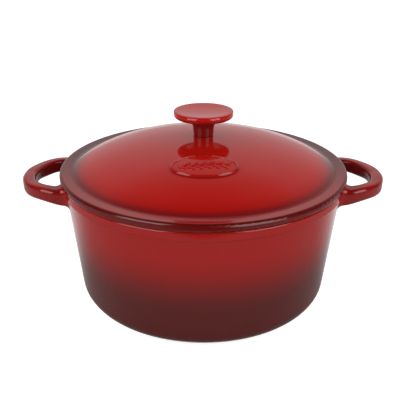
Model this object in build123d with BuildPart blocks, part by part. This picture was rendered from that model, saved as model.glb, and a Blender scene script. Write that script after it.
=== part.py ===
from build123d import *
import math
import os

# Round cast iron dutch oven: a cast pot with two loop handles, a domed lid that lifts off, and a
# cast knob held to the lid by one screw and its washer.
# The ground is z = 0, the handles lie along X and the lid's oval plaque faces -Y.

# ---------------------------------------------------------------- pot sizes
rim_height = 114.6  # flat rim that carries the lid
wall_radius_rim = 127.5  # tapered outside wall, carried up to the rim
wall_taper = 10.7  # the same wall, carried down to the ground, is that much nearer the axis
wall_thickness = 4.0
floor_thickness = 4.8
base_corner = 13.5
floor_corner = 15.0
band_stand = 2.0  # thicker strip around the rim, beyond the wall
band_depth = 8.1
band_edge = 1.2
rim_edge = 1.6
rim_inner_edge = 1.2
foot_width = 13.0  # flat ring that the pot stands on
foot_relief = 0.8  # the middle of the underside is that much higher

# ---------------------------------------------------------------- handle sizes
handle_stand = 34.0  # from the wall at the rim to the middle of the bar at the tip
shoulder_bend = 26.0
shoulder_turn = 46.5
tip_bend = 42.5
bar_width = 11.8
bar_height = 12.9
bar_edge = 3.6
bar_drop = 8.0  # middle of the bar below the rim
root_width = 16.4
root_height = 15.2
root_drop = 3.4  # the bar sinks that much more where it meets the wall
root_shift = 2.7  # and leans that much towards the middle of the loop
root_sink = 1.5  # the root is measured on a circle that much inside the wall at the rim
root_blend = 7.0
bar_overlap = 11.0  # the bar runs on that far inside the casting

# ---------------------------------------------------------------- lid sizes
lid_overhang = 1.5  # beyond the pot's band
flange_width = 11.5
flange_height = 7.3  # the flange rises a little towards its outer edge
flange_top_edge = 2.5
flange_bottom_edge = 2.4
dome_height = 33.4  # top of the dome above the rim
shoulder_height = 24.7  # height of the dome at its shoulder, partway out to its foot
shoulder_share = 0.628  # radius of the shoulder as a share of the foot's
foot_height = 6.7  # height of the foot, where the dome meets its flange
foot_slope = 30.0
dome_blend = 5.0  # hollow between the dome and its flange
lid_thickness = 4.0
ring_clearance = 1.0  # locating ring to the inside of the rim
ring_width = 3.0
ring_depth = 3.6
ring_edge = 1.2
seat_radius = 9.7  # flat seat for the knob
seat_rise = 0.3  # above the top of the dome
boss_radius = 12.0  # flat pad for the washer, under the dome
boss_depth = 1.0

# ---------------------------------------------------------------- plaque sizes
plaque_width = 56.4
plaque_length = 31.0
plaque_share = 0.54  # radius of the plaque's middle as a share of the dome's foot's
plaque_height = 1.8
plaque_rim = 2.0
plaque_sink = 0.6  # the middle of the plaque lies that far below its border
plaque_outer_edge = 0.9
plaque_inner_edge = 0.4

# ---------------------------------------------------------------- knob sizes
knob_height = 23.4
knob_radius = 26.8
disc_thickness = 6.6
disc_top_edge = 1.1
disc_bottom_edge = 3.1
stem_radius_base = 8.9
stem_radius_top = 10.4
stem_blend = 10.5
stem_edge = 0.8
dish_radius = 24.4
dish_depth = 1.4

# ---------------------------------------------------------------- screw and washer sizes
screw_diameter = 6.0
screw_grip = 11.0  # how far the screw reaches into the knob
bore_depth = 14.0
screw_clearance = 0.4  # screw to the holes in the lid and the washer, all round
washer_diameter = 16.0
washer_thickness = 1.2
head_diameter = 12.0
head_height = 3.6
head_edge = 1.5
recess_width = 6.4
recess_arm = 1.3
recess_depth = 2.0

os.makedirs("parts", exist_ok=True)


# ---------------------------------------------------------------- pot
wall_radius_base = wall_radius_rim - wall_taper
wall_slope = wall_taper / rim_height
cavity_radius_rim = wall_radius_rim - wall_thickness
cavity_radius_floor = wall_radius_base + wall_slope * floor_thickness - wall_thickness
band_radius = wall_radius_rim + band_stand
band_z = rim_height - band_depth
band_inner = (cavity_radius_rim + wall_radius_rim) / 2
foot_inner = wall_radius_base - base_corner - foot_width

# Middle line of a handle bar, seen from above: straight out of the wall, round a shoulder, then
# along the arc of the tip.  The other half of the loop is its mirror image.
turn = math.radians(shoulder_turn)
tip_x = wall_radius_rim + handle_stand - tip_bend
shoulder_x = tip_x + (tip_bend - shoulder_bend) * math.sin(turn)
bar_y = shoulder_bend + (tip_bend - shoulder_bend) * math.cos(turn)
bar_z = rim_height - bar_drop
root_z = bar_z - root_drop
root_y = bar_y - root_shift
root_x = math.sqrt((wall_radius_rim - root_sink) ** 2 - root_y**2)


def bar_plane(x, y, z, heading):
    """Plane across the bar at a point of its middle line, which runs along the heading."""
    a = math.radians(heading)
    return Plane((x, y, z), x_dir=(-math.sin(a), math.cos(a), 0), z_dir=(math.cos(a), math.sin(a), 0))


def arc_point(x, y, bend, angle):
    """Middle of the bar on an arc about (x, y), the angle being turned from the Y direction."""
    a = math.radians(angle)
    return (x + bend * math.sin(a), y + bend * math.cos(a), bar_z, -angle)


shoulder = (shoulder_x, bar_y - shoulder_bend, shoulder_bend)
half_loop = [
    ((root_x - bar_overlap, root_y, root_z, 0), root_width, root_height),
    ((root_x, root_y, root_z, 0), root_width, root_height),
    ((shoulder_x, bar_y, bar_z - root_drop / 2, 0), (bar_width + root_width) / 2, bar_height + 1),
    (arc_point(*shoulder, shoulder_turn / 2), bar_width, bar_height),
    (arc_point(*shoulder, shoulder_turn), bar_width, bar_height),
    (arc_point(tip_x, 0, tip_bend, (shoulder_turn + 90) / 2), bar_width, bar_height),
]
tip = [(arc_point(tip_x, 0, tip_bend, 90), bar_width, bar_height)]
other_half = [((x, -y, z, -180 - heading), w, h) for (x, y, z, heading), w, h in reversed(half_loop)]

with BuildPart() as handle:
    for point, width, height in half_loop + tip + other_half:
        with BuildSketch(bar_plane(*point)):
            RectangleRounded(width, height, bar_edge)
    loft()

with BuildPart() as pot:
    # Solid tapered body, carried above the rim, with both loops grown into it and blended at
    # their four roots.
    with BuildSketch(Plane.XZ):
        with BuildLine():
            outside = FilletPolyline(
                (0, 0),
                (wall_radius_base, 0),
                (wall_radius_rim + wall_slope * root_blend, rim_height + root_blend),
                (0, rim_height + root_blend),
                radius=[base_corner, 0],
            )
            Line(outside @ 1, outside @ 0)
        make_face()
    revolve(axis=Axis.Z)
    add(handle.part)
    mirror(handle.part, about=Plane.YZ)
    root_edges = [
        edge
        for edge in pot.edges()
        if edge.geom_type == GeomType.BSPLINE
        and math.hypot(edge.center().X, edge.center().Y) < wall_radius_rim
    ]
    fillet(root_edges, root_blend)

    # Rim band.
    with BuildSketch(Plane.XZ):
        with BuildLine():
            band = FilletPolyline(
                (band_inner, band_z),
                (band_radius, band_z),
                (band_radius, rim_height + root_blend),
                (band_inner, rim_height + root_blend),
                radius=[band_edge, 0],
            )
            Line(band @ 1, band @ 0)
        make_face()
    revolve(axis=Axis.Z)

    # Inside of the pot, then the cut that leaves the flat rim, and its rounded edges.
    with BuildSketch(Plane.XZ):
        with BuildLine():
            inside = FilletPolyline(
                (0, floor_thickness),
                (cavity_radius_floor, floor_thickness),
                (cavity_radius_rim + wall_slope * root_blend, rim_height + root_blend),
                (0, rim_height + root_blend),
                radius=[floor_corner, 0],
            )
            Line(inside @ 1, inside @ 0)
        make_face()
    revolve(axis=Axis.Z, mode=Mode.SUBTRACT)
    split(bisect_by=Plane.XY.offset(rim_height), keep=Keep.BOTTOM)
    rim_face = pot.faces().sort_by(Axis.Z)[-1]
    fillet(rim_face.outer_wire().edges(), rim_edge)
    rim_face = pot.faces().sort_by(Axis.Z)[-1]
    fillet(rim_face.inner_wires()[0].edges(), rim_inner_edge)

    # Shallow relief under the floor, which leaves a ring to stand on.
    with BuildSketch():
        Circle(foot_inner)
    extrude(amount=foot_relief, taper=45, mode=Mode.SUBTRACT)


# ---------------------------------------------------------------- lid
lid_radius = band_radius + lid_overhang
foot_radius = lid_radius - flange_width
crown = (0, rim_height + dome_height)
dome_shoulder = (shoulder_share * foot_radius, rim_height + shoulder_height)
foot = (foot_radius, rim_height + foot_height)
plaque_reach = plaque_share * foot_radius
foot_tangent = (math.cos(math.radians(foot_slope)), -math.sin(math.radians(foot_slope)))
flange_z = rim_height + flange_height
ring_outer = cavity_radius_rim - ring_clearance
ring_inner = ring_outer - ring_width
ring_z = rim_height - ring_depth
seat_z = rim_height + dome_height + seat_rise
boss_z = rim_height + dome_height - lid_thickness - boss_depth
screw_hole = screw_diameter / 2 + screw_clearance


def dome_line(lift):
    """Half section of the dome from its crown to its foot, moved up by the lift."""
    points = [(r, z + lift) for r, z in (crown, dome_shoulder, foot)]
    return Spline(*points, tangents=[(1, 0), foot_tangent])


with BuildPart() as plaque_middle:
    # What is taken out of the plaque to leave its middle sunk inside a border.
    with BuildSketch(Plane.XY.offset(rim_height)):
        with Locations((0, -plaque_reach)):
            Ellipse(plaque_width / 2 - plaque_rim, plaque_length / 2 - plaque_rim)
    extrude(amount=2 * dome_height)
    with BuildSketch(Plane.XZ):
        with BuildLine():
            middle_top = dome_line(plaque_height - plaque_sink)
            Polyline(middle_top @ 1, (foot[0], rim_height), (0, rim_height), middle_top @ 0)
        make_face()
    revolve(axis=Axis.Z, mode=Mode.SUBTRACT)

with BuildPart() as plaque:
    # An upright oval, cut to a slab that follows the dome from the middle of its casting to the
    # top of the border.
    with BuildSketch(Plane.XY.offset(rim_height)):
        with Locations((0, -plaque_reach)):
            Ellipse(plaque_width / 2, plaque_length / 2)
    extrude(amount=dome_height)
    with BuildSketch(Plane.XZ):
        with BuildLine():
            border_top = dome_line(plaque_height)
            border_root = dome_line(-lid_thickness / 2)
            Line(border_top @ 1, border_root @ 1)
            Line(border_root @ 0, border_top @ 0)
        make_face()
    revolve(axis=Axis.Z, mode=Mode.INTERSECT)
    add(plaque_middle.part, mode=Mode.SUBTRACT)
    border_edges = plaque.edges().filter_by(GeomType.BSPLINE).sort_by(Axis.Z)[-2:]
    inner_edge, outer_edge = border_edges.sort_by(SortBy.LENGTH)
    fillet(outer_edge, plaque_outer_edge)
    fillet(inner_edge, plaque_inner_edge)

with BuildPart() as lid:
    with BuildSketch(Plane.XZ) as lid_section:
        with BuildLine():
            over = dome_line(0)
            under = dome_line(-lid_thickness)
            Polyline(
                over @ 1,
                (lid_radius, flange_z),
                (lid_radius, rim_height),
                (ring_outer, rim_height),
                (ring_outer, ring_z),
                (ring_inner, ring_z),
                under @ 1,
            )
            Line(under @ 0, over @ 0)
        make_face()
        fillet(lid_section.vertices().sort_by_distance(foot)[0], dome_blend)
        fillet(lid_section.vertices().sort_by_distance((lid_radius, flange_z))[0], flange_top_edge)
        fillet(lid_section.vertices().sort_by_distance((lid_radius, rim_height))[0], flange_bottom_edge)
        fillet(lid_section.vertices().group_by(Axis.Y)[0], ring_edge)
    revolve(axis=Axis.Z)

    # Seat for the knob above, flat pad for the washer below, and the screw's hole through both.
    with BuildSketch(Plane.XY.offset(seat_z)):
        Circle(seat_radius)
    extrude(amount=-lid_thickness)
    with BuildSketch(Plane.XY.offset(boss_z)):
        Circle(boss_radius)
    extrude(amount=lid_thickness)
    with BuildSketch(Plane.XY.offset(boss_z)):
        Circle(screw_hole)
    extrude(amount=seat_z - boss_z, mode=Mode.SUBTRACT)

    add(plaque.part)


# ---------------------------------------------------------------- knob
knob_top = seat_z + knob_height
disc_z = knob_top - disc_thickness

with BuildPart() as knob:
    with BuildSketch(Plane.XZ) as knob_section:
        with BuildLine():
            side = FilletPolyline(
                (0, seat_z),
                (stem_radius_base, seat_z),
                (stem_radius_top, disc_z),
                (knob_radius, disc_z),
                (knob_radius, knob_top),
                (dish_radius, knob_top),
                radius=[stem_edge, stem_blend, disc_bottom_edge, disc_top_edge],
            )
            dish_bend = (dish_radius**2 + dish_depth**2) / (2 * dish_depth)
            dish_angle = math.degrees(math.asin(dish_radius / dish_bend))
            dish = CenterArc((0, knob_top - dish_depth + dish_bend), dish_bend, -90, dish_angle)
            Line(dish @ 0, side @ 0)
        make_face()
    revolve(axis=Axis.Z)
    with BuildSketch(Plane.XY.offset(seat_z)):
        Circle(screw_diameter / 2)
    extrude(amount=bore_depth, mode=Mode.SUBTRACT)


# ---------------------------------------------------------------- washer and screw
washer_z = boss_z - washer_thickness
head_z = washer_z - head_height

with BuildPart() as washer:
    with BuildSketch(Plane.XY.offset(washer_z)):
        Circle(washer_diameter / 2)
        Circle(screw_hole, mode=Mode.SUBTRACT)
    extrude(amount=washer_thickness)

with BuildPart() as screw:
    with BuildSketch(Plane.XY.offset(head_z)):
        Circle(head_diameter / 2)
    extrude(amount=head_height)
    fillet(screw.edges().group_by(Axis.Z)[0], head_edge)
    with BuildSketch(Plane.XY.offset(washer_z)):
        Circle(screw_diameter / 2)
    extrude(amount=seat_z + screw_grip - washer_z)
    chamfer(screw.edges().group_by(Axis.Z)[-1], screw_diameter / 8)
    with BuildSketch(Plane.XY.offset(head_z)):
        Rectangle(recess_width, recess_arm)
        Rectangle(recess_arm, recess_width)
    extrude(amount=recess_depth, mode=Mode.SUBTRACT)


# ---------------------------------------------------------------- export
pieces = {
    "pot": pot.part,
    "lid": lid.part,
    "knob": knob.part,
    "knob_washer": washer.part,
    "knob_screw": screw.part,
}
for name, piece in pieces.items():
    piece.label = name
    export_step(piece, f"parts/{name}.step")
    size = piece.bounding_box().size
    print(f"{name}: {len(piece.solids())} solid, valid {piece.is_valid}, volume {piece.volume:.0f},", size)
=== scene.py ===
# %% [markdown]
# # A round dutch oven in enamelled cast iron
# The pot, its two loop handles, the domed lid and the knob are iron castings under a coat of glass
# enamel.  A steel screw and washer hold the knob.  All of them come ready made from the CAD model
# and keep their shape.  This lesson gives them their finishes, adds the small raised sprig on the
# lid's plaque, and lights them like a product on a white sweep.

import math

import bmesh
import bpy
from mathutils import Matrix, Vector


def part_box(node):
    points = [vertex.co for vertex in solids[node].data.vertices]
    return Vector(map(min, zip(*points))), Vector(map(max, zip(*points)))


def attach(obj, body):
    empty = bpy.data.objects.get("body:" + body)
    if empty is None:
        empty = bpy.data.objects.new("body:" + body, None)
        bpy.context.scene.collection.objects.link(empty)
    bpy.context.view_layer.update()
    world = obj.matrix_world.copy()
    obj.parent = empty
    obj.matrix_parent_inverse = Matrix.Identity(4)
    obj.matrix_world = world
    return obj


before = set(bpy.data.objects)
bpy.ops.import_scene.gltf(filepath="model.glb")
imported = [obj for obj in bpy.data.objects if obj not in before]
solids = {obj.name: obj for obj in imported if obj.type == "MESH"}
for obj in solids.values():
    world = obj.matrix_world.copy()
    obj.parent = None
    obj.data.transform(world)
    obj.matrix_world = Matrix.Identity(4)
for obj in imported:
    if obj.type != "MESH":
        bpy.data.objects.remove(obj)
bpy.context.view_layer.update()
print("solids:", ", ".join(sorted(solids)))

# %% [markdown]
# ## Measures
# All lengths are in metres.  The outer sizes could be typed in, but they are read from the solids'
# own boxes, so that the looks stay in register with the CAD model.  What a box can't tell, such
# as the width of the lid's flange, is a named value in the step that first needs it.  Two steps
# need the plaque's place, so it stands here.

# %% Measures of the solids
pot_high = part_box("pot")[1]
lid_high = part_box("lid")[1]
knob_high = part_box("knob")[1]
rim_z = pot_high[2]
band_radius = pot_high[1]
lid_radius = lid_high[1]
knob_top = knob_high[2]
plaque_middle = (0.0, -0.0645)
print(f"rim {rim_z * 1000:.1f} mm high, lid {lid_radius * 2000:.0f} mm across")

# %% [markdown]
# ## Camera
# The camera stands a little above the pot and close to it, as for a shop's catalogue.  It looks
# down by 24 degrees with a normal lens, and the pot's handles lie almost square across the view.
# A constraint could aim it at the pot.  Three turns in radians are used instead, because they
# also say how far the view leans.

# %% Camera
camera_eye = Vector((-0.0070, -0.49995, 0.3056))
look_down = 0.419
look_right = 0.009
tilt = 0.003
camera = bpy.data.objects.new("camera", bpy.data.cameras.new("camera"))
camera.data.sensor_width = 36.0
camera.data.lens = 51.35
camera.data.shift_x = -0.00125
camera.data.shift_y = 0.00125
camera.data.clip_start = 0.01
aim = (
    Matrix.Rotation(-look_right, 4, "Z")
    @ Matrix.Rotation(math.pi / 2 - look_down, 4, "X")
    @ Matrix.Rotation(tilt, 4, "Z")
)
camera.matrix_world = Matrix.Translation(camera_eye) @ aim
bpy.context.scene.collection.objects.link(camera)
bpy.context.scene.camera = camera
print("camera", [round(v, 3) for v in camera_eye], "lens", camera.data.lens, "mm")

# %% [markdown]
# ## Shader maths
# Node trees are easier to read as sums than as wires.  `Value` wraps the output of a node, so
# that `1 - mask * 0.5` adds its Math nodes by itself.  `Finish` is one material, and its `node`
# method adds any other node: its type, then its settings, then what goes into its sockets.


# %% Values that can be added and multiplied
class Value:
    def __init__(self, finish, socket):
        self.finish, self.socket = finish, socket

    def math(self, operation, *others):
        return self.finish.node("ShaderNodeMath", {"operation": operation}, *((self,) + others))

    def __add__(self, other):
        return self.math("ADD", other)

    def __radd__(self, other):
        return self.math("ADD", other)

    def __sub__(self, other):
        return self.math("SUBTRACT", other)

    def __rsub__(self, other):
        return self.finish.node("ShaderNodeMath", {"operation": "SUBTRACT"}, other, self)

    def __mul__(self, other):
        return self.math("MULTIPLY", other)

    def __rmul__(self, other):
        return self.math("MULTIPLY", other)

    def __truediv__(self, other):
        return self.math("DIVIDE", other)

    def __pow__(self, other):
        return self.math("POWER", other)

    def below(self, other, soft):
        """1 where this value is under the other, 0 where it is over, blended across soft."""
        return self.finish.ramp(self - other, soft / 2, -soft / 2)


# %% A material as one object
class Finish:
    def __init__(self, name, owner=None):
        self.owner = owner or bpy.data.materials.new(name)
        self.owner.use_nodes = True
        self.tree = self.owner.node_tree
        self.tree.nodes.clear()

    def node(self, kind, settings=None, *inputs, out=0, **named):
        """Adds a node: its settings first, then its sockets in order or by name."""
        made = self.tree.nodes.new(kind)
        for key, setting in (settings or {}).items():
            setattr(made, key, setting)
        pairs = [(made.inputs[i], value) for i, value in enumerate(inputs)]
        pairs += [(made.inputs[key.replace("_", " ")], value) for key, value in named.items()]
        for socket, value in pairs:
            if isinstance(value, Value):
                self.tree.links.new(value.socket, socket)
            elif value is not None:
                socket.default_value = value
        return Value(self, made.outputs[out]) if len(made.outputs) else None

    def place(self):
        """The point's x, y and z on the piece, in metres."""
        point = self.node("ShaderNodeTexCoord", out="Object")
        return [self.node("ShaderNodeSeparateXYZ", None, point, out=axis) for axis in "XYZ"]

    def ramp(self, value, low, high, kind="SMOOTHSTEP"):
        """0 at low and 1 at high, with a soft start and end."""
        return self.node(
            "ShaderNodeMapRange", {"interpolation_type": kind}, value, low, high, 0.0, 1.0
        )

    def mix(self, share, first, second):
        """First colour where the share is 0, second where it is 1."""
        unused = [None] * 5
        settings = {"data_type": "RGBA"}
        return self.node("ShaderNodeMix", settings, share, *unused, first, second, out=2)

    def noise(self, scale, detail):
        """Soft random lumps, from 0 to 1.  A larger scale makes them smaller."""
        point = self.node("ShaderNodeTexCoord", out="Object")
        return self.node("ShaderNodeTexNoise", None, Vector=point, Scale=scale, Detail=detail)

    def finish_with(self, shader):
        """Closes the tree with its shader and gives back the material."""
        self.node("ShaderNodeOutputMaterial", None, shader)
        return self.owner


def dress(name, material):
    """Gives one solid one finish all over."""
    solids[name].data.materials.clear()
    solids[name].data.materials.append(material)


print("shader helpers ready")

# %% [markdown]
# ## Enamel colours
# The red is a clear glass over a dark ground coat.  It is sprayed thick on the middle of the lid
# and on the upper wall, where it is a full bright red, and thinly towards the lid's flange and
# the foot of the pot, where the ground coat turns it to a brown that is nearly black.  Two coats
# of glass could be built in the shader, but a share between two colours is easier to steer.

# %% Enamel colours
# The wall's red is darker than the dome's red: painted shade for the upright wall.
wall_red_with_painted_shade = (0.285, 0.006, 0.004, 1)
dome_red = (0.40, 0.006, 0.003, 1)
knob_red = (0.42, 0.005, 0.003, 1)
foot_brown = (0.086, 0.008, 0.007, 1)
# The flange's back colour is its front colour darkened as painted shade for the far side.
flange_front = (0.31, 0.005, 0.004, 1)
flange_back_painted_shade = (0.080, 0.003, 0.005, 1)
edge_brown = (0.10, 0.002, 0.001, 1)
shadow_brown = (0.06, 0.006, 0.007, 1)
cream = (0.80, 0.72, 0.58, 1)
bare_iron = (0.030, 0.024, 0.022, 1)
line_blend = 0.0004
print("enamel colours ready")

# %% [markdown]
# ## Enamel skin
# Fired enamel is glossy, but never quite flat: it keeps shallow waves of a hundredth of a
# millimetre, and pores far finer than that.  In the mesh they would need millions of faces, so
# both go into a bump.  `swell` is what a casting adds to it where the coat rounds an edge.

# %% Enamel skin
enamel_roughness = 0.09
bare_dullness = 0.45
wave_height, wave_scale = 0.000012, 70.0
pore_height, pore_scale = 0.0000005, 900.0


def enamel_skin(finish, colour, roughness, swell=0.0):
    """Glassy skin with the faint waviness of fired enamel.  Heights and swell are in metres."""
    waves = finish.noise(wave_scale, detail=1.0)
    pores = finish.noise(pore_scale, detail=2.0)
    relief = waves * wave_height + pores * pore_height + swell
    normal = finish.node("ShaderNodeBump", Strength=1.0, Distance=1.0, Height=relief)
    return finish.node(
        "ShaderNodeBsdfPrincipled",
        None,
        Base_Color=colour,
        Roughness=roughness,
        IOR=1.5,
        Normal=normal,
    )


print(f"enamel roughness {enamel_roughness}, waves {wave_height * 1e6:.0f} micrometres high")

# %% [markdown]
# ## Pot enamel
# Outside, the red fades with height: it is full over the top fifth of the wall and brown over the
# bottom third.  The handles have red flat tops just under the height of the rim, and painted shade
# on their sides and inside their loops.  Inside is a cream enamel that shows the food, and the rim
# itself is bare and dull, because the lid rubs on it.  All this could be painted on by hand, but
# every border follows a height or a radius, so the point's own place tells its colour.

# %% Pot measures
brown_below, red_above = 0.036, 0.092
wall_taper, wall_thickness, band_stand = 0.0107, 0.0040, 0.0020
wall_foot_radius = band_radius - band_stand - wall_taper
wall_slope = wall_taper / rim_z
floor_middle = 0.0022
tip_arc_reach, tip_arc_inner = 0.0484, 0.0366
tip_arc_x = pot_high[0] - tip_arc_reach
handle_start, handle_full = band_radius - 0.001, band_radius + 0.008
handle_side, handle_top = rim_z - 0.004, rim_z - 0.001
loop_blend = 0.006
side_shade, loop_shade = 0.35, 0.9
print(f"wall {wall_foot_radius * 1000:.1f} mm from the middle at its foot")

# %% Pot enamel outside
pot_finish = Finish("pot_enamel")
x, y, z = pot_finish.place()
radius = (x * x + y * y) ** 0.5
red_share = pot_finish.ramp(z, brown_below, red_above)
outside = pot_finish.mix(red_share, foot_brown, wall_red_with_painted_shade)
on_handle = pot_finish.ramp(radius, handle_start, handle_full)
on_side = 1 - pot_finish.ramp(z, handle_side, handle_top)
off_arc = x.math("ABSOLUTE") - tip_arc_x
arc_radius = (off_arc * off_arc + y * y) ** 0.5
in_loop = on_handle * arc_radius.below(tip_arc_inner, loop_blend)
# Painted shade: the handles' sides and the insides of their loops are darkened towards
# shadow_brown.
outside = pot_finish.mix(on_handle * on_side * side_shade, outside, shadow_brown)
outside = pot_finish.mix(in_loop * on_side * loop_shade, outside, shadow_brown)
print("pot outside:", len(pot_finish.tree.nodes), "nodes")

# %% Pot enamel inside, and the bare rim
wall_middle = wall_foot_radius + wall_slope * z - wall_thickness / 2
over_floor = pot_finish.ramp(z, floor_middle - line_blend, floor_middle + line_blend)
inside = radius.below(wall_middle, line_blend) * over_floor
colour = pot_finish.mix(inside, outside, cream)
on_rim = pot_finish.ramp(z, rim_z - line_blend, rim_z - line_blend / 4)
colour = pot_finish.mix(on_rim, colour, bare_iron)
roughness = on_rim * bare_dullness + enamel_roughness
skin = enamel_skin(pot_finish, colour, roughness)
dress("pot", pot_finish.finish_with(skin))
print("pot enamel:", len(pot_finish.tree.nodes), "nodes")

# %% [markdown]
# ## Lid enamel
# The lid fades outwards: the dome is bright, and its flange goes from a dark red in front to a
# purple brown at the back, a painted shade for the far side that the dome would shade.  Painted
# shade also darkens the crease where dome and flange meet and the foot of the plaque's border,
# which the coat also rounds a little.  The enamel is darker along the outer edge.
# Under the dome it is cream like the inside of the pot, and the narrow face that rests on the rim
# is bare.  As on the pot, heights and radii tell the areas apart, so nothing has to be painted.

# %% Lid measures
flange_width, crease_inset, ring_inset = 0.0115, 0.0015, 0.0085
flange_inner = lid_radius - flange_width
crease_radius = flange_inner - crease_inset
ring_outer = lid_radius - ring_inset
fade_start, flange_blend = 0.102, 0.001
front_y, back_y = -0.10, 0.04
crease_width, crease_blend, crease_shade = 0.006, 0.006, 0.55
edge_start, edge_full, edge_dullness = lid_radius - 0.0032, lid_radius - 0.0018, 0.06
print(f"flange from {flange_inner * 1000:.1f} to {lid_radius * 1000:.1f} mm")

# %% Dome, flange and edge
lid_finish = Finish("lid_enamel")
x, y, z = lid_finish.place()
radius = (x * x + y * y) ** 0.5
# Painted shade: the flange darkens towards the back.
painted_shade_to_back = lid_finish.ramp(y, front_y, back_y)
flange_brown_and_painted_shade = lid_finish.mix(painted_shade_to_back, flange_front, flange_back_painted_shade)
fade = lid_finish.ramp(radius, fade_start, flange_inner + flange_blend)
outside = lid_finish.mix(fade, dome_red, flange_brown_and_painted_shade)
# Painted shade: the crease where dome and flange meet is darkened towards shadow_brown.
off_crease = (radius - crease_radius).math("ABSOLUTE")
crease_shade_mask = off_crease.below(crease_width / 2, crease_blend)
outside = lid_finish.mix(crease_shade_mask * crease_shade, outside, shadow_brown)
edge = lid_finish.ramp(radius, edge_start, edge_full)
outside = lid_finish.mix(edge, outside, edge_brown)
print("lid outside:", len(lid_finish.tree.nodes), "nodes")

# %% Border of the plaque
border_half_width, border_half_length = 0.0272, 0.0145
foot_start, foot_full, foot_end, foot_blend, foot_shade = 0.0004, 0.0011, 0.0014, 0.0012, 0.5
round_inside, round_width, round_slope = 0.0006, 0.0016, 0.7
from_middle = y - plaque_middle[1]
reach = (x * x + from_middle * from_middle) ** 0.5
across = ((x / border_half_width) ** 2 + (from_middle / border_half_length) ** 2) ** 0.5
off_border = reach - reach / across
# Painted shade: a dark line along the foot of the plaque's border.
past_border = lid_finish.ramp(off_border, foot_start, foot_full)
border_foot_shade_mask = past_border * off_border.below(foot_end, foot_blend)
outside = lid_finish.mix(border_foot_shade_mask * foot_shade, outside, shadow_brown)
rounding = (off_border + round_inside).math("MAXIMUM", 0.0).math("MINIMUM", round_width)
print(f"border {border_half_width * 2000:.1f} mm wide, rounded over {round_width * 1000:.1f} mm")

# %% Lid enamel underneath, and the bare seat
dome_height, dome_fall, dome_power, dome_blend = 0.0313, 0.0267, 2.4, 0.0006
dome_middle = rim_z + dome_height - dome_fall * (radius / flange_inner) ** dome_power
in_dome = radius.below(flange_inner + flange_blend / 2, flange_blend)
under = z.below(dome_middle, dome_blend) * in_dome
at_rim = z.below(rim_z + line_blend, line_blend)
in_ring = radius.below(ring_outer, line_blend)
under = under.math("MAXIMUM", at_rim * in_ring)
colour = lid_finish.mix(under, outside, cream)
seat = at_rim * (1 - in_ring)
colour = lid_finish.mix(seat, colour, bare_iron)
roughness = seat * bare_dullness + edge * edge_dullness + enamel_roughness
swell = rounding * -round_slope * (1 - under)
skin = enamel_skin(lid_finish, colour, roughness, swell)
lid_enamel = lid_finish.finish_with(skin)
dress("lid", lid_enamel)
print("lid enamel:", len(lid_finish.tree.nodes), "nodes")

# %% [markdown]
# ## Knob enamel
# The knob is dipped and fired by itself.  It is red all over, with painted shade on the side of
# its disc and on the stem.  The coat also rounds the lip of the dished top, which catches the
# light as a thin line.  A bevel could round it too, but the solid's mesh isn't changed here, so
# the slope goes into the bump: it starts at the foot of the lip and is steepest at its crest.

# %% Knob enamel
lip_height, lip_slope, lip_blend = 0.0030, 0.8, 0.002
dish_radius, dish_blend = 0.0247, 0.0003
stem_below, stem_blend = knob_top - 0.0055, 0.007
disc_shade, stem_shade = 0.38, 0.55
knob_finish = Finish("knob_enamel")
x, y, z = knob_finish.place()
radius = (x * x + y * y) ** 0.5
under_lip = z.below(knob_top - lip_height, lip_blend)
on_stem = z.below(stem_below, stem_blend)
# Painted shade: the disc's side and the stem are darkened towards shadow_brown.
colour = knob_finish.mix(under_lip * disc_shade, knob_red, shadow_brown)
colour = knob_finish.mix(on_stem * stem_shade, colour, shadow_brown)
in_dish = radius.below(dish_radius, dish_blend)
up_lip = (z - (knob_top - lip_height)).math("MAXIMUM", in_dish * lip_height)
swell = up_lip * up_lip * (-lip_slope / (2 * lip_height))
skin = enamel_skin(knob_finish, colour, enamel_roughness, swell)
dress("knob", knob_finish.finish_with(skin))
print("knob enamel:", len(knob_finish.tree.nodes), "nodes")

# %% [markdown]
# ## Steel
# The screw and its washer under the lid are stainless steel, with the fine rings that the lathe
# leaves.  The rings are too fine to cut into a mesh, so one sine of the radius makes them in the
# bump and in the roughness.

# %% Steel
steel_grey = (0.62, 0.61, 0.60, 1)
steel_roughness, ring_roughness = 0.26, 0.08
ring_rate, ring_height, ring_strength = 9000.0, 0.00002, 0.15
steel_finish = Finish("steel")
x, y, z = steel_finish.place()
radius = (x * x + y * y) ** 0.5
rings = (radius * ring_rate).math("SINE") * 0.5 + 0.5
normal = steel_finish.node(
    "ShaderNodeBump", Strength=ring_strength, Distance=ring_height, Height=rings
)
steel = steel_finish.node(
    "ShaderNodeBsdfPrincipled",
    None,
    Base_Color=steel_grey,
    Metallic=1.0,
    Roughness=rings * ring_roughness + steel_roughness,
    Normal=normal,
)
steel_material = steel_finish.finish_with(steel)
dress("knob_screw", steel_material)
dress("knob_washer", steel_material)
print("steel:", len(steel_finish.tree.nodes), "nodes")

# %% [markdown]
# ## Sprig on the plaque
# A small sprig of leaves is raised on the plaque's sunken middle.  The pattern maker carves it
# into the lid's pattern, so it is one piece of iron with the lid and wears the same enamel.  Here
# each leaf is a flattened ball drawn out to a point, and every point of it is lifted off the lid's
# own surface, so that the sprig follows the dome.

# %% Shape of a leaf and of the stem
leaf_length, leaf_width, leaf_height = 0.0088, 0.0042, 0.0009
stem_length, stem_width, stem_height = 0.046, 0.0014, leaf_height * 0.9
stem_wave = 0.0010
slimming = 0.55


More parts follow.
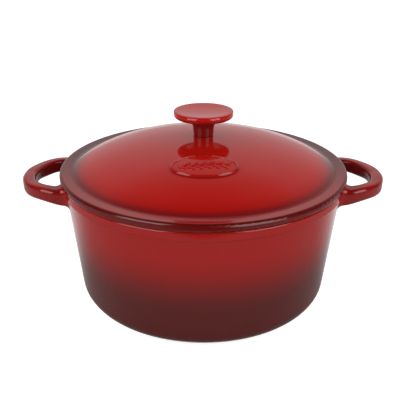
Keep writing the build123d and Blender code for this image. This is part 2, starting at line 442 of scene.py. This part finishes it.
def flat_ball(shape, length, width, height):
    """A ball squashed to a half length, half width and half height, pointed at both ends."""
    made = bmesh.ops.create_uvsphere(shape, u_segments=16, v_segments=24, radius=1.0)["verts"]
    bmesh.ops.rotate(shape, verts=made, matrix=Matrix.Rotation(math.pi / 2, 3, "Y"))
    for vert in made:
        along, across, up = vert.co
        slim = 1 - slimming * along * along
        vert.co = (along * length / 2, across * slim * width / 2, up * height)
    return made


def stem_side(along):
    """How far the wavy stem stands aside of its straight line."""
    return stem_wave * math.sin(along * 2 * math.pi / stem_length)


print(f"leaves {leaf_length * 1000:.1f} mm long on a stem of {stem_length * 1000:.0f} mm")

# %% Leaves on the stem
leaf_turn = math.radians(38)
leaf_count = 12
leaf_tuck = 0.3
shape = bmesh.new()
stem = flat_ball(shape, stem_length, stem_width, stem_height)
for vert in stem:
    vert.co.y += stem_side(vert.co.x)
for number in range(leaf_count):
    side = 1 if number % 2 else -1
    along = (number / (leaf_count - 1) - 0.5) * (stem_length - leaf_length)
    leaf = flat_ball(shape, leaf_length, leaf_width, leaf_height)
    bmesh.ops.translate(shape, verts=leaf, vec=(leaf_length / 2, 0, 0))
    bmesh.ops.rotate(shape, verts=leaf, matrix=Matrix.Rotation(side * leaf_turn, 3, "Z"))
    root = (along - leaf_length * leaf_tuck, stem_side(along), 0)
    bmesh.ops.translate(shape, verts=leaf, vec=root)
print("sprig:", leaf_count, "leaves,", len(shape.verts), "points")

# %% Laid on the lid
above = rim_z + 0.1
down = Vector((0, 0, -1))
for vert in shape.verts:
    spot = Vector((plaque_middle[0] + vert.co.x, plaque_middle[1] + vert.co.y, above))
    ground = solids["lid"].ray_cast(spot, down)[1]
    vert.co = (spot.x, spot.y, ground.z + vert.co.z)
bmesh.ops.recalc_face_normals(shape, faces=shape.faces)
for face in shape.faces:
    face.smooth = True
sprig_mesh = bpy.data.meshes.new("lid_sprig")
shape.to_mesh(sprig_mesh)
shape.free()
sprig = bpy.data.objects.new("lid_sprig", sprig_mesh)
sprig_mesh.materials.append(lid_enamel)
bpy.context.scene.collection.objects.link(sprig)
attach(sprig, "lid_body")
sprig_size = [round(v * 1000, 1) for v in sprig.dimensions]
print("sprig:", len(sprig_mesh.polygons), "faces", sprig_size, "mm")

# %% [markdown]
# ## Floor
# The pot stands on a white floor that runs out behind it.  Its colour alone would come out grey
# under this light, so it also glows to the camera: it meets the white surround without a line and
# keeps the pot's soft shadow.  The gloss of the castings mirrors its own grey and two glows.  One
# lies on either side of the pot and shows along the wall's left and right outlines.  The other
# grows towards the back and draws a thin line along the far side of the dome.

# %% Floor
floor_reach, floor_front = 3.0, 0.34
floor_white = (0.42, 0.42, 0.42, 1)
white, black = (1, 1, 1, 1), (0, 0, 0, 1)
camera_glow, near_level, far_level = 0.85, 0.55, 0.40
floor_mesh = bpy.data.meshes.new("floor")
shape = bmesh.new()
bmesh.ops.create_grid(shape, x_segments=1, y_segments=1, size=floor_reach)
bmesh.ops.translate(shape, verts=shape.verts, vec=(0, floor_reach - floor_front, 0))
shape.to_mesh(floor_mesh)
shape.free()
floor = bpy.data.objects.new("floor", floor_mesh)
bpy.context.scene.collection.objects.link(floor)
print(f"floor {floor_reach * 2:.0f} m wide, {floor_front} m of it in front of the middle")

# %% Floor finish
floor_finish = Finish("floor_white")
x, y, z = floor_finish.place()


def patch(value, rise, fall):
    """1 between the two blends and 0 outside them."""
    return floor_finish.ramp(value, *rise) * (1 - floor_finish.ramp(value, *fall))


seen = floor_finish.node("ShaderNodeLightPath", out="Is Camera Ray")
reflected = floor_finish.node("ShaderNodeLightPath", out="Is Glossy Ray")
beside_pot = patch(x.math("ABSOLUTE"), rise=(0.08, 0.14), fall=(0.24, 0.34))
near_pot = patch(y, rise=(-0.05, 0.12), fall=(0.17, 0.26))
near_glow = near_pot * beside_pot * near_level
far_glow = floor_finish.ramp(y, 0.1, 0.9) * far_level
lit = seen * camera_glow + reflected * (near_glow + far_glow)
matt = floor_finish.node("ShaderNodeBsdfDiffuse", None, floor_white)
glow_colour = floor_finish.mix(lit, black, white)
glow = floor_finish.node("ShaderNodeEmission", None, glow_colour, 1.0)
floor_shader = floor_finish.node("ShaderNodeAddShader", None, matt, glow)
floor_mesh.materials.append(floor_finish.finish_with(floor_shader))
print("floor finish:", len(floor_finish.tree.nodes), "nodes")

# %% [markdown]
# ## Softboxes
# Two tall softboxes stand left and right of the camera and further back.  They put no light on
# matt colour and only show in gloss: from the front, as short light lines on the flange's edge,
# the plaque's border, the knob and the handles.  The gap between them keeps the middle of the
# flange's edge dark.  Two bright panels of mesh would do the same, but an area lamp needs no mesh
# or material.

# %% Softboxes
box_aside, box_back, box_up = 0.935, -0.90, 0.72
box_size = (0.90, 1.20)
box_watts = 10.0
box_aim = Vector((0, 0, 0.42))


def softbox(name, place):
    lamp = bpy.data.lights.new(name, "AREA")
    lamp.shape = "RECTANGLE"
    lamp.size, lamp.size_y = box_size
    lamp.energy = box_watts
    made = bpy.data.objects.new(name, lamp)
    made.location = place
    made.rotation_euler = (box_aim - Vector(place)).to_track_quat("-Z", "Y").to_euler()
    made.visible_camera = False
    made.visible_diffuse = False
    bpy.context.scene.collection.objects.link(made)


for side in (-1, 1):
    softbox(f"softbox_{side}", (side * box_aside, box_back, box_up))
print("two softboxes of", box_size, "m")

# %% [markdown]
# ## Surround
# The room is plain white to the camera.  In gloss it is bright behind the pot and dark in front
# and overhead, so that the dome keeps its red.  On matt colour it gives soft light from all
# round: most from the left and right, least from the front, and little from straight above or
# below.  Walls and a ceiling of mesh could do this, but a world can look different to the
# camera, to gloss and to matt colour, and throws no shadow of its own.

# %% Surround
gloss_level = 0.60
behind_from, overhead_from = 0.3, 0.66
base_light, side_light, back_light = 0.68, 0.95, 0.35
level_light, upright_loss = 1.8, 1.5
world = bpy.data.worlds.new("surround")
bpy.context.scene.world = world
surround = Finish("surround", world)
direction = surround.node("ShaderNodeTexCoord", out="Generated")
dx, dy, dz = [surround.node("ShaderNodeSeparateXYZ", None, direction, out=axis) for axis in "XYZ"]
level = (dx * dx + dy * dy) ** 0.5
behind = surround.ramp(dy / level, behind_from, 1.0, "LINEAR")
low = 1 - surround.ramp(dz, overhead_from, 1.0, "LINEAR")
in_gloss = behind * low * gloss_level
from_behind = (dy * back_light).math("MAXIMUM", 0.0)
around = dx.math("ABSOLUTE") * side_light + from_behind + base_light
soft_light = around * (level_light - dz.math("ABSOLUTE") * upright_loss)
camera_ray = surround.node("ShaderNodeLightPath", out="Is Camera Ray")
glossy_ray = surround.node("ShaderNodeLightPath", out="Is Glossy Ray")
on_object = glossy_ray * in_gloss + (1 - glossy_ray) * soft_light
strength = camera_ray + (1 - camera_ray) * on_object
backdrop = surround.node("ShaderNodeBackground", None, white, strength)
surround.node("ShaderNodeOutputWorld", None, backdrop)
bpy.context.scene.view_settings.view_transform = "Standard"
print("surround ready")
